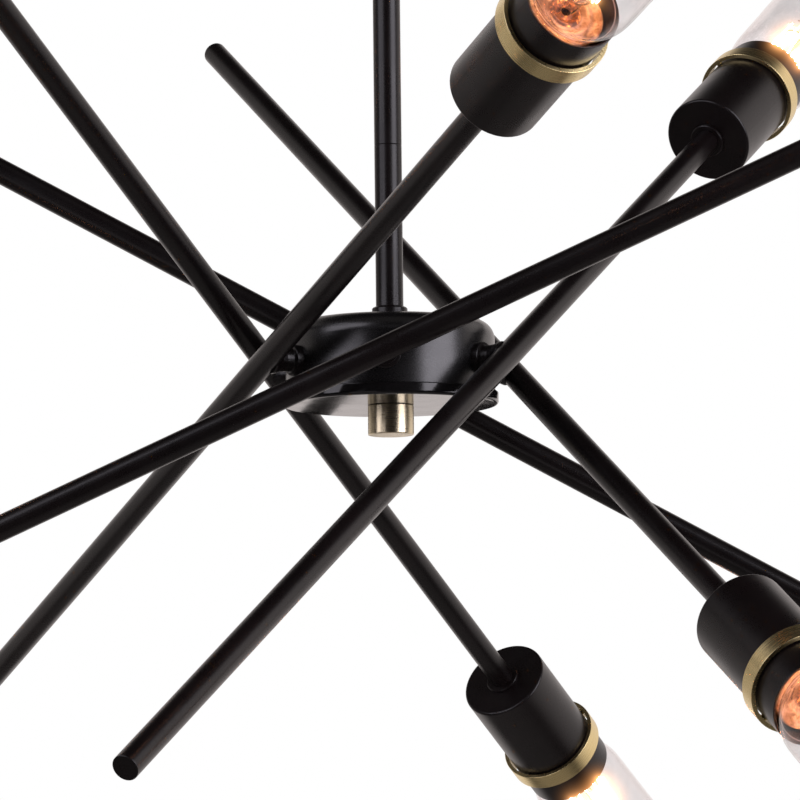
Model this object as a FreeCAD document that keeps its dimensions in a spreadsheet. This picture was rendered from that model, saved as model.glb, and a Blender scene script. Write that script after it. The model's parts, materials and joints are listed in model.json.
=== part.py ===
import FreeCAD, Part
import math
import os

import Sketcher

# Sputnik chandelier: a ceiling canopy with a hang-straight swivel, a two-piece
# rod, a round hub and six long arms that turn in the hub's wall, each arm with
# a lamp at one end and a plain closed end.  Millimetres, +Z up.  The origin is
# the centre of the canopy's rim, in the plane of the ceiling.

doc = FreeCAD.newDocument("SputnikChandelier")
sheet = doc.addObject("Spreadsheet::Sheet", "Sizes")

V = FreeCAD.Vector
ROWS = [
    # alias, value, note
    ("canopy_rad", 63.5, "ceiling canopy, outer radius"),
    ("canopy_deep", 24.0, "canopy depth below the ceiling"),
    ("canopy_wall", 1.2, "canopy sheet"),
    ("canopy_round", 6.0, "canopy shoulder radius"),
    ("stud_off", 30.0, "canopy stud distance from the axis"),
    ("stud_rad", 2.0, "canopy stud, M4"),
    ("stud_long", 31.0, "canopy stud length"),
    ("bar_long", 108.0, "crossbar length"),
    ("bar_wide", 19.0, "crossbar width"),
    ("bar_thick", 2.0, "crossbar sheet"),
    ("slot_off", 44.45, "outlet box slot centre from the axis"),
    ("slot_rad", 2.4, "outlet box slot half width"),
    ("slot_long", 12.0, "outlet box slot, end to end"),
    ("shank_rad", 4.95, "M10 shank and pipe radius"),
    ("shank_bore", 3.2, "bore of the pipe and the shank"),
    ("swivel_drop", 38.0, "swivel pin below the ceiling"),
    ("ear_rad", 7.0, "yoke ear radius"),
    ("ear_thick", 3.2, "yoke ear thickness"),
    ("tongue_half", 3.0, "half thickness of the tongue"),
    ("tongue_rad", 6.5, "tongue radius"),
    ("pin_rad", 2.0, "swivel pin radius"),
    ("swivel_gap", 0.1, "side clearance of the tongue"),
    ("rod_top", 52.5, "top of the upper rod below the ceiling"),
    ("rod_rad", 6.5, "stem rod outer radius"),
    ("rod_bore", 5.15, "stem rod inner radius"),
    ("rod_upper", 305.0, "upper rod length"),
    ("rod_lower", 77.0, "lower rod length"),
    ("hub_drop", 462.5, "arm pivot plane below the ceiling"),
    ("hub_rad", 49.5, "hub shell outer radius"),
    ("hub_wall", 1.2, "hub sheet"),
    ("hub_top", 20.5, "hub top above the pivot plane"),
    ("hub_low", 18.0, "hub shell's lower edge below the pivot plane"),
    ("hub_round", 9.0, "hub shoulder radius"),
    ("lid_rad", 51.0, "bottom plate rim radius"),
    ("lid_low", 19.2, "bottom plate face below the pivot plane"),
    ("lid_lip", 5.7, "height of the plate's rim"),
    ("collar_rad", 8.4, "stem collar radius"),
    ("collar_high", 7.5, "stem collar height"),
    ("finial_rad", 10.85, "brass finial radius"),
    ("finial_long", 14.0, "brass finial length"),
    ("arm_ring", 65.2, "hub axis to arm axis"),
    ("arm_rad", 6.0, "arm tube outer radius"),
    ("arm_wall", 0.8, "arm tube wall"),
    ("arm_plain", 386.0, "pivot to the plain end"),
    ("arm_lamp", 246.0, "pivot to the back of the lamp cup"),
    ("spigot_rad", 4.0, "stub spigot radius, M8"),
    ("spigot_hole", 4.06, "hub wall hole radius"),
    ("stub_rad", 5.5, "stub radius"),
    ("stub_bore", 2.5, "wire bore of the stub"),
    ("flange_rad", 7.3, "stub flange and saddle washer radius"),
    ("cup_rad", 21.9, "lamp cup outer radius"),
    ("cup_wall", 1.2, "lamp cup wall"),
    ("cup_long", 76.0, "lamp cup length"),
    ("band_rad", 24.7, "brass ring outer radius"),
    ("band_wall", 1.9, "brass ring wall"),
    ("band_off", 51.3, "back of the cup to the brass ring"),
    ("band_wide", 9.0, "brass ring width"),
    ("holder_rad", 17.5, "lampholder outer radius"),
    ("holder_long", 44.8, "lampholder height"),
    ("screw_rad", 13.2, "E26 lamp cap radius"),
    ("glass_wall", 0.8, "bulb glass thickness"),
    ("bulb_rad", 24.9, "bulb largest radius"),
    ("bulb_tip", 165.5, "back of the cup to the bulb's tip"),
]
ARMS = [
    # name, bearing of the stub, rise of the arm, lean of the tube in its
    # saddle, +1 where the lamp is at the raised end and -1 at the lowered end
    ("arm1", -90.0, 24.34, -0.22, -1),
    ("arm2", -30.0, 31.73, 1.88, 1),
    ("arm3", 30.0, 32.43, -0.09, -1),
    ("arm4", 90.0, 28.91, 0.11, 1),
    ("arm5", 150.0, 33.76, -0.22, -1),
    ("arm6", 210.0, 21.36, -0.44, 1),
]
for name, bearing, rise, lean, side in ARMS:
    ROWS.append((name + "_bearing", bearing, "bearing of the stub, degrees"))
    ROWS.append((name + "_rise", rise, "rise of the arm, degrees"))
    ROWS.append((name + "_lean", lean, "lean of the tube in its saddle, degrees"))
    ROWS.append((name + "_side", float(side), "lamp end: 1 raised, -1 lowered"))

for i, (alias, value, note) in enumerate(ROWS, start=1):
    sheet.set("A%d" % i, alias)
    sheet.set("B%d" % i, repr(value))
    sheet.set("C%d" % i, note)
    sheet.setAlias("B%d" % i, alias)
doc.recompute()
NAMES = [row[0] for row in ROWS]


def size(alias):
    return float(sheet.get(alias))


def terms(text):
    """Split 'a + b*0.5 - 2' into (sign, name or None, factor)."""
    out = []
    sign = 1.0
    for word in text.split():
        if word == "+":
            sign = 1.0
        elif word == "-":
            sign = -1.0
        else:
            if word.startswith("-"):
                sign, word = -sign, word[1:]
            parts = word.split("*")
            if parts[0] in NAMES:
                out.append((sign, parts[0], float(parts[1]) if len(parts) > 1 else 1.0))
            else:
                out.append((sign, None, float(parts[0])))
            sign = 1.0
    return out


def num(text):
    return sum(s * f * (size(n) if n else 1.0) for s, n, f in terms(text))


def expr(text, unit="mm"):
    """The same sum as an expression on the sheet's cells."""
    words = []
    for s, n, f in terms(text):
        words.append("%s %s" % ("-" if s < 0 else "+",
                                ("Sizes.%s * %r" % (n, f)) if n else "%r" % f))
    body = " ".join(words)
    if body.startswith("+ "):
        body = body[2:]
    return "(%s) * 1 %s" % (body, unit)


def plane(body, role):
    for feature in body.Origin.OriginFeatures:
        if feature.Role == role:
            return feature
    raise ValueError(role)


def sketch_on(body, role, label, offset=None):
    sk = body.newObject("Sketcher::SketchObject", label)
    sk.AttachmentSupport = (plane(body, role), [""])
    sk.MapMode = "FlatFace"
    if offset is not None:
        sk.AttachmentOffset = offset
    return sk


def polygon(sk, points):
    """A closed outline; every corner's two distances are bound to the sheet."""
    xy = [(num(a), num(b)) for a, b in points]
    n = len(xy)
    for i in range(n):
        a, b = xy[i], xy[(i + 1) % n]
        sk.addGeometry(Part.LineSegment(V(a[0], a[1], 0), V(b[0], b[1], 0)), False)
    for i in range(n):
        sk.addConstraint(Sketcher.Constraint("Coincident", i, 2, (i + 1) % n, 1))
    for i, (ex, ey) in enumerate(points):
        if abs(xy[i][0]) < 1e-9:
            sk.addConstraint(Sketcher.Constraint("PointOnObject", i, 1, -2))
        else:
            c = sk.addConstraint(Sketcher.Constraint("DistanceX", -1, 1, i, 1, xy[i][0]))
            sk.setExpression("Constraints[%d]" % c, expr(ex))
        if abs(xy[i][1]) < 1e-9:
            sk.addConstraint(Sketcher.Constraint("PointOnObject", i, 1, -1))
        else:
            c = sk.addConstraint(Sketcher.Constraint("DistanceY", -1, 1, i, 1, xy[i][1]))
            sk.setExpression("Constraints[%d]" % c, expr(ey))


def circle(sk, cx, cy, radius):
    g = sk.addGeometry(Part.Circle(V(num(cx), num(cy), 0), V(0, 0, 1), num(radius)), False)
    for key, text, value in (("DistanceX", cx, num(cx)), ("DistanceY", cy, num(cy))):
        if abs(value) < 1e-9:
            sk.addConstraint(Sketcher.Constraint("PointOnObject", g, 3, -2 if key == "DistanceX" else -1))
        else:
            c = sk.addConstraint(Sketcher.Constraint(key, -1, 1, g, 3, value))
            sk.setExpression("Constraints[%d]" % c, expr(text))
    c = sk.addConstraint(Sketcher.Constraint("Radius", g, num(radius)))
    sk.setExpression("Constraints[%d]" % c, expr(radius))


def turned(label, points, rounds=(), axis="V_Axis"):
    """A body of revolution; rounds are (radius, height, fillet) of its circles."""
    body = doc.addObject("PartDesign::Body", label)
    body.Label = label
    sk = sketch_on(body, "XZ_Plane", label + "_outline")
    polygon(sk, points)
    rev = body.newObject("PartDesign::Revolution", label + "_turn")
    rev.Profile = sk
    rev.ReferenceAxis = (sk, [axis])
    rev.Angle = 360.0
    doc.recompute()
    for k, (er, ez, text) in enumerate(rounds):
        base = body.Tip
        names = edges_at(base.Shape, num(er), num(ez), axis)
        fil = body.newObject("PartDesign::Fillet", "%s_round%d" % (label, k))
        fil.Base = (base, names)
        fil.Radius = num(text)
        fil.setExpression("Radius", expr(text))
        doc.recompute()
        if fil.Shape.isNull() or not fil.Shape.isValid():
            raise RuntimeError("fillet failed on " + label)
    return body


def edges_at(shape, radius, height, axis="V_Axis"):
    found = []
    for i, e in enumerate(shape.Edges, start=1):
        c = e.Curve
        if isinstance(c, Part.Circle) and abs(c.Radius - radius) < 1e-3:
            at = c.Center.z if axis == "V_Axis" else c.Center.x
            if abs(at - height) < 1e-3:
                found.append("Edge%d" % i)
    if not found:
        raise RuntimeError("no edge at %r %r" % (radius, height))
    return found


def pocket(body, sk, length, reverse=False, both=False):
    before = body.Tip.Shape.Volume
    pk = body.newObject("PartDesign::Pocket", sk.Name + "_cut")
    pk.Profile = sk
    if both:
        pk.Midplane = True
    pk.Length = num(length)
    pk.setExpression("Length", expr(length))
    pk.Reversed = reverse
    doc.recompute()
    if not pk.Shape.Volume < before - 0.5:
        raise RuntimeError("a pocket cut nothing on " + body.Label)
    return pk


def around(body, feature, count):
    pat = body.newObject("PartDesign::PolarPattern", feature.Name + "_around")
    pat.Originals = [feature]
    pat.Axis = (plane(body, "Z_Axis"), [""])
    pat.Angle = 360.0
    pat.Occurrences = count
    body.Tip = pat
    doc.recompute()
    return pat


def cyl(label, radius, height, at=(0, 0, 0), direction=(0, 0, 1)):
    c = doc.addObject("Part::Cylinder", label)
    c.Radius = num(radius)
    c.Height = num(height)
    c.setExpression("Radius", expr(radius))
    c.setExpression("Height", expr(height))
    c.Placement = FreeCAD.Placement(V(*at), FreeCAD.Rotation(V(0, 0, 1), V(*direction)))
    return c


def box(label, x, y, z, at):
    b = doc.addObject("Part::Box", label)
    for key, text in (("Length", x), ("Width", y), ("Height", z)):
        setattr(b, key, num(text))
        b.setExpression(key, expr(text))
    b.Placement = FreeCAD.Placement(V(*at), FreeCAD.Rotation())
    return b


def hexagon(label, across, height, at=(0, 0, 0), direction=(0, 0, 1)):
    p = doc.addObject("Part::Prism", label)
    p.Polygon = 6
    p.Circumradius = across / math.sqrt(3.0)
    p.Height = height
    p.Placement = FreeCAD.Placement(V(*at), FreeCAD.Rotation(V(0, 0, 1), V(*direction)))
    return p


def fuse(label, shapes):
    f = doc.addObject("Part::MultiFuse", label)
    f.Shapes = shapes
    return f


def cut(label, base, tool):
    c = doc.addObject("Part::Cut", label)
    c.Base = base
    c.Tool = tool
    c.Label = label
    return c


def group(label, pieces):
    g = doc.addObject("Part::Compound", label)
    g.Links = pieces
    g.Label = label
    return g


def lower(obj, drop):
    obj.Placement = FreeCAD.Placement(V(0, 0, -drop), FreeCAD.Rotation())


nodes = []      # every sub-part that is written to a file


# ---------------------------------------------------------------- ceiling end
# Canopy: a spun dish, rim against the ceiling, with two stud holes.
canopy = turned(
    "canopy",
    [("shank_rad + 0.35", "-canopy_deep"), ("canopy_rad", "-canopy_deep"),
     ("canopy_rad", "0"), ("canopy_rad - canopy_wall", "0"),
     ("canopy_rad - canopy_wall", "canopy_wall - canopy_deep"),
     ("shank_rad + 0.35", "canopy_wall - canopy_deep")],
    [("canopy_rad", "-canopy_deep", "canopy_round"),
     ("canopy_rad - canopy_wall", "canopy_wall - canopy_deep", "canopy_round - canopy_wall")])
holes = sketch_on(canopy, "XY_Plane", "canopy_stud_holes")
circle(holes, "stud_off", "0", "stud_rad + 0.2")
circle(holes, "-stud_off", "0", "stud_rad + 0.2")
pocket(canopy, holes, "canopy_deep*4.0", both=True)
nodes.append(canopy)

# Crossbar: flat steel strap with two slots for the outlet box, two tapped
# holes for the canopy studs, a wire hole and a hole for the earth screw.
bar = box("crossbar_blank", "bar_long", "bar_wide", "bar_thick",
          (-num("bar_long*0.5"), -num("bar_wide*0.5"), -num("bar_thick")))
cutters = []
for sx in (-1, 1):
    tag = "l" if sx < 0 else "r"
    half = num("slot_long*0.5 - slot_rad")
    cutters.append(box("slot_mid_" + tag, "slot_long - slot_rad*2.0", "slot_rad*2.0", "bar_thick*3.0",
                       (sx * size("slot_off") - half, -size("slot_rad"), -2 * size("bar_thick"))))
    for end in (-1, 1):
        cutters.append(cyl("slot_end_%s%d" % (tag, end + 1), "slot_rad", "bar_thick*3.0",
                           (sx * size("slot_off") + end * half, 0, -2 * size("bar_thick"))))
    cutters.append(cyl("stud_tap_" + tag, "stud_rad", "bar_thick*3.0",
                       (sx * size("stud_off"), 0, -2 * size("bar_thick"))))
cutters.append(cyl("wire_hole", "8.5", "bar_thick*3.0", (0, 0, -2 * size("bar_thick"))))
cutters.append(cyl("earth_tap", "stud_rad", "bar_thick*3.0", (18.0, 0, -2 * size("bar_thick"))))
crossbar = cut("crossbar", bar, fuse("crossbar_cutters", cutters))
nodes.append(crossbar)

# Screws on the crossbar: two studs for the canopy, and the earth screw.
studs = [cyl("stud_" + t, "stud_rad - 0.02", "stud_long", (s * size("stud_off"), 0, -size("stud_long")))
         for t, s in (("l", -1), ("r", 1))]
earth = turned("earth_screw",
               [("0", "0"), ("stud_rad - 0.02", "0"), ("stud_rad - 0.02", "-bar_thick - 0.02"),
                ("4.0", "-bar_thick - 0.02"), ("4.0", "-bar_thick - 1.4"), ("2.6", "-bar_thick - 2.4"),
                ("0", "-bar_thick - 2.6")])
earth.Placement = FreeCAD.Placement(V(18.0, 0, 0), FreeCAD.Rotation())
crossbar_screws = group("crossbar_screws", studs + [earth])
nodes.append(crossbar_screws)

# Two ball nuts under the canopy, on the studs.
balls = []
for t, s in (("l", -1), ("r", 1)):
    nut = turned("ball_nut_" + t,
                 [("stud_rad + 0.03", "-canopy_deep"), ("3.6", "-canopy_deep"), ("4.2", "-canopy_deep - 0.8"),
                  ("4.2", "-canopy_deep - 1.8"), ("5.0", "-canopy_deep - 3.2"), ("5.4", "-canopy_deep - 5.2"),
                  ("5.0", "-canopy_deep - 7.4"), ("3.6", "-canopy_deep - 9.2"), ("1.8", "-canopy_deep - 10.2"),
                  ("0", "-canopy_deep - 10.5"), ("0", "-canopy_deep - 7.4"),
                  ("stud_rad + 0.03", "-canopy_deep - 7.4")])
    nut.Placement = FreeCAD.Placement(V(s * size("stud_off"), 0, 0), FreeCAD.Rotation())
    balls.append(nut)
canopy_nuts = group("canopy_nuts", balls)
nodes.append(canopy_nuts)

# Swivel yoke: hollow threaded shank, flange under the canopy and two ears.
drop = size("swivel_drop")
flange_z = num("canopy_deep + 3.2")
shank = cyl("yoke_shank", "shank_rad", "canopy_deep - 14.0", (0, 0, -size("canopy_deep")))
flange = cyl("yoke_flange", "10.0", "3.2", (0, 0, -flange_z))
ears = []
for sy in (-1, 1):
    y0 = num("tongue_half + swivel_gap") if sy > 0 else -num("tongue_half + swivel_gap + ear_thick")
    tag = "b" if sy < 0 else "f"
    ears.append(box("ear_%s" % tag, "ear_rad*2.0", "ear_thick", "swivel_drop - canopy_deep - 3.0",
                    (-size("ear_rad"), y0, -drop)))
    ears.append(cyl("ear_end_%s" % tag, "ear_rad", "ear_thick", (0, y0, -drop), (0, 1, 0)))
yoke_tools = fuse("yoke_holes", [
    cyl("yoke_wire_bore", "shank_bore", "20.0", (0, 0, -num("canopy_deep + 4.0"))),
    cyl("yoke_pin_hole", "pin_rad + 0.02", "30.0", (0, -15.0, -drop), (0, 1, 0))])
swivel_yoke = cut("swivel_yoke", fuse("yoke_blank", [shank, flange] + ears), yoke_tools)
nodes.append(swivel_yoke)

# Toothed washer and hex nut that hold the yoke in the canopy.
inner_z = -num("canopy_deep - canopy_wall")
washer = cut("yoke_washer", cyl("yoke_washer_blank", "8.5", "1.2", (0, 0, inner_z)),
             cyl("yoke_washer_bore", "shank_rad + 0.02", "3.0", (0, 0, inner_z - 1)))
nut = cut("yoke_nut", hexagon("yoke_nut_blank", 16.0, 5.0, (0, 0, inner_z + 1.2)),
          cyl("yoke_nut_bore", "shank_rad + 0.02", "8.0", (0, 0, inner_z)))
swivel_nut = group("swivel_nut", [washer, nut])
nodes.append(swivel_nut)

# Riveted pin of the swivel, along Y.
swivel_pin = turned(
    "swivel_pin",
    [("0", "-8.0"), ("3.0", "-8.0"), ("3.5", "-7.4"), ("3.5", "-6.4"), ("pin_rad", "-6.4"),
     ("pin_rad", "6.4"), ("3.5", "6.4"), ("3.5", "7.4"), ("3.0", "8.0"), ("0", "8.0")])
swivel_pin.Placement = FreeCAD.Placement(V(0, 0, -drop), FreeCAD.Rotation(V(0, 0, 1), V(0, 1, 0)))
nodes.append(swivel_pin)

# ----------------------------------------------------------------------- stem
# Tongue: the eye on the pin, a round shoulder and a plug into the upper rod.
top = size("rod_top")
tongue_blank = fuse("tongue_blank", [
    cyl("tongue_eye", "tongue_rad", "tongue_half*2.0", (0, -size("tongue_half"), -drop), (0, 1, 0)),
    box("tongue_web", "tongue_rad*2.0", "tongue_half*2.0", "rod_top - swivel_drop - 5.0",
        (-size("tongue_rad"), -size("tongue_half"), -top + 5.0)),
    cyl("tongue_shoulder", "rod_rad", "6.0", (0, 0, -top)),
    cyl("tongue_plug", "rod_bore - 0.05", "12.0", (0, 0, -top - 12.0))])
tongue_tools = fuse("tongue_holes", [
    cyl("tongue_pin_hole", "pin_rad + 0.06", "20.0", (0, -10.0, -drop), (0, 1, 0)),
    cyl("tongue_wire_bore", "2.0", "17.5", (0, 0, -top - 13.0))])
swivel_tongue = cut("swivel_tongue", tongue_blank, tongue_tools)
nodes.append(swivel_tongue)

upper_rod = turned("upper_rod", [("rod_bore", "-rod_top - rod_upper"), ("rod_rad", "-rod_top - rod_upper"),
                                 ("rod_rad", "-rod_top"), ("rod_bore", "-rod_top")],
                   [("rod_rad", "-rod_top - rod_upper", "0.3")])
nodes.append(upper_rod)
lower_rod = turned("lower_rod",
                   [("rod_bore", "-rod_top - rod_upper - rod_lower"),
                    ("rod_rad", "-rod_top - rod_upper - rod_lower"),
                    ("rod_rad", "-rod_top - rod_upper"), ("rod_bore", "-rod_top - rod_upper")],
                   [("rod_rad", "-rod_top - rod_upper", "0.3")])
nodes.append(lower_rod)
rod_coupler = turned("rod_coupler",
                     [("shank_bore", "-rod_top - rod_upper - 12.0"), ("rod_bore - 0.05", "-rod_top - rod_upper - 12.0"),
                      ("rod_bore - 0.05", "-rod_top - rod_upper + 12.0"), ("shank_bore", "-rod_top - rod_upper + 12.0")])
nodes.append(rod_coupler)

# ------------------------------------------------------------------------ hub
hub_drop = size("hub_drop")
# Shell: a pan, open below, six holes in its wall at even bearings.
hub_shell = turned(
    "hub_shell",
    [("shank_rad + 0.1", "hub_top"), ("hub_rad", "hub_top"), ("hub_rad", "-hub_low"),
     ("hub_rad - hub_wall", "-hub_low"), ("hub_rad - hub_wall", "hub_top - hub_wall"),
     ("shank_rad + 0.1", "hub_top - hub_wall")],
    [("hub_rad", "hub_top", "hub_round"),
     ("hub_rad - hub_wall", "hub_top - hub_wall", "hub_round - hub_wall")])
sk = sketch_on(hub_shell, "XZ_Plane", "hub_arm_hole")
circle(sk, "0", "0", "spigot_hole")
hole = pocket(hub_shell, sk, "hub_rad + 5.0")
around(hub_shell, hole, 6)
lower(hub_shell, hub_drop)
nodes.append(hub_shell)

# Bottom plate: a shallow lid whose rim stands up outside the shell.
bottom_plate = turned(
    "bottom_plate",
    [("shank_rad + 0.1", "-lid_low"), ("lid_rad", "-lid_low"), ("lid_rad", "lid_lip - lid_low"),
     ("hub_rad + 0.1", "lid_lip - lid_low"), ("hub_rad + 0.1", "-hub_low"),
     ("shank_rad + 0.1", "-hub_low")],
    [("lid_rad", "-lid_low", "1.6"), ("lid_rad", "lid_lip - lid_low", "0.5")])
lower(bottom_plate, hub_drop)
nodes.append(bottom_plate)

stem_collar = turned(
    "stem_collar",
    [("shank_rad + 0.05", "hub_top"), ("collar_rad", "hub_top"), ("collar_rad", "hub_top + collar_high - 1.2"),
     ("collar_rad - 0.5", "hub_top + collar_high - 0.6"), ("rod_rad + 0.1", "hub_top + collar_high"),
     ("shank_rad + 0.05", "hub_top + collar_high")])
lower(stem_collar, hub_drop)
nodes.append(stem_collar)

hub_pipe = turned(
    "hub_pipe",
    [("shank_bore", "-lid_low - 9.0"), ("shank_rad", "-lid_low - 9.0"),
     ("shank_rad", "hub_top + 24.0"), ("shank_bore", "hub_top + 24.0")])
lower(hub_pipe, hub_drop)
nodes.append(hub_pipe)

# Lock washers and hex nuts on the pipe, under the hub's top and over the plate.
pieces = []
z1 = num("hub_top - hub_wall")
z2 = -size("hub_low")
pieces.append(cut("top_washer", cyl("top_washer_blank", "9.0", "1.0", (0, 0, z1 - 1.0)),
                  cyl("top_washer_bore", "shank_rad + 0.02", "3.0", (0, 0, z1 - 2.0))))
pieces.append(cut("top_nut", hexagon("top_nut_blank", 14.0, 4.5, (0, 0, z1 - 5.5)),
                  cyl("top_nut_bore", "shank_rad + 0.02", "8.0", (0, 0, z1 - 7.0))))
pieces.append(cut("low_washer", cyl("low_washer_blank", "9.0", "1.0", (0, 0, z2)),
                  cyl("low_washer_bore", "shank_rad + 0.02", "3.0", (0, 0, z2 - 1.0))))
pieces.append(cut("low_nut", hexagon("low_nut_blank", 14.0, 4.5, (0, 0, z2 + 1.0)),
                  cyl("low_nut_bore", "shank_rad + 0.02", "8.0", (0, 0, z2 - 1.0))))
hub_nuts = group("hub_nuts", pieces)
lower(hub_nuts, hub_drop)
nodes.append(hub_nuts)

# Finial: a plain turned knob screwed on the pipe's lower end.
finial = turned(
    "finial",
    [("shank_rad + 0.05", "-lid_low"), ("finial_rad", "-lid_low"), ("finial_rad", "-lid_low - finial_long"),
     ("0", "-lid_low - finial_long"), ("0", "-lid_low - 9.6"), ("shank_rad + 0.05", "-lid_low - 9.6")],
    [("finial_rad", "-lid_low", "0.4"), ("finial_rad", "-lid_low - finial_long", "0.5")])
lower(finial, hub_drop)
nodes.append(finial)

# Six curved washers, hollow to the hub wall inside and flat outside.
saddles = []
for name, bearing, rise, lean, side in ARMS:
    a = math.radians(size(name + "_bearing"))
    d = (math.cos(a), math.sin(a), 0)
    inner = size("hub_rad") - 2.0
    blank = cyl(name + "_saddle_blank", "flange_rad", "3.5", (inner * d[0], inner * d[1], 0), d)
    tools = fuse(name + "_saddle_tools", [
        cyl(name + "_saddle_wall", "hub_rad + 0.02", "40.0", (0, 0, -20.0)),
        cyl(name + "_saddle_bore", "spigot_rad + 0.1", "20.0",
            ((inner - 5) * d[0], (inner - 5) * d[1], 0), d)])
    saddles.append(cut(name + "_saddle", blank, tools))
saddle_washers = group("saddle_washers", saddles)
lower(saddle_washers, hub_drop)
nodes.append(saddle_washers)

# ----------------------------------------------------------------------- arms
# In an arm's own frame the origin is on the tube's axis at the stub, +X points
# away from the hub and +Z along the tube to the lamp.
plate = "hub_rad - arm_ring"                 # hub wall, outer face, on X
GLASS = [
    # height above the back of the cup, share of the largest radius
    (26.5, 0.484), (33.0, 0.484), (39.0, 0.484), (43.5, 0.486), (49.0, 0.545), (57.0, 0.655),
    (66.0, 0.740), (73.0, 0.788), (77.0, 0.822), (81.0, 0.884), (85.0, 0.937),
    (91.0, 0.963), (104.0, 0.975), (122.0, 0.990), (136.0, 1.000), (146.0, 0.972),
    (154.0, 0.885), (160.0, 0.735), (164.0, 0.480),
]


def glass_shell(label):
    """The clear envelope: one smooth outline, and the same line set inwards."""
    back = size("arm_lamp")
    big = size("bulb_rad")
    tip = size("bulb_tip")
    wall = size("glass_wall")
    outer = [V(big * f, 0, back + h * tip / 165.5) for h, f in GLASS]
    outer.append(V(0, 0, back + tip))
    up = Part.BSplineCurve()
    up.interpolate(Points=outer, InitialTangent=V(0, 0, 1), FinalTangent=V(-1, 0, 0))
    inner = []
    for p in outer[:-1]:
        t = up.tangent(up.parameter(p))[0]
        inner.append(p + V(-t.z, 0, t.x) * wall)
    inner[0] = V(outer[0].x - wall, 0, outer[0].z)
    inner.append(V(0, 0, back + tip - wall))
    down = Part.BSplineCurve()
    down.interpolate(Points=inner, InitialTangent=V(0, 0, 1), FinalTangent=V(-1, 0, 0))
    wire = Part.Wire([up.toShape(), Part.makeLine(outer[-1], inner[-1]),
                      down.toShape(), Part.makeLine(inner[0], outer[0])])
    solid = Part.Face(Part.Wire(Part.__sortEdges__(wire.Edges))).revolve(V(0, 0, 0), V(0, 0, 1), 360)
    if solid.ShapeType != "Solid":
        solid = Part.Solid(Part.Shell(solid.Faces))
    if solid.Volume < 0:
        solid.reverse()
    obj = doc.addObject("Part::Feature", label)
    obj.Label = label
    obj.Shape = solid
    return obj


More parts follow.
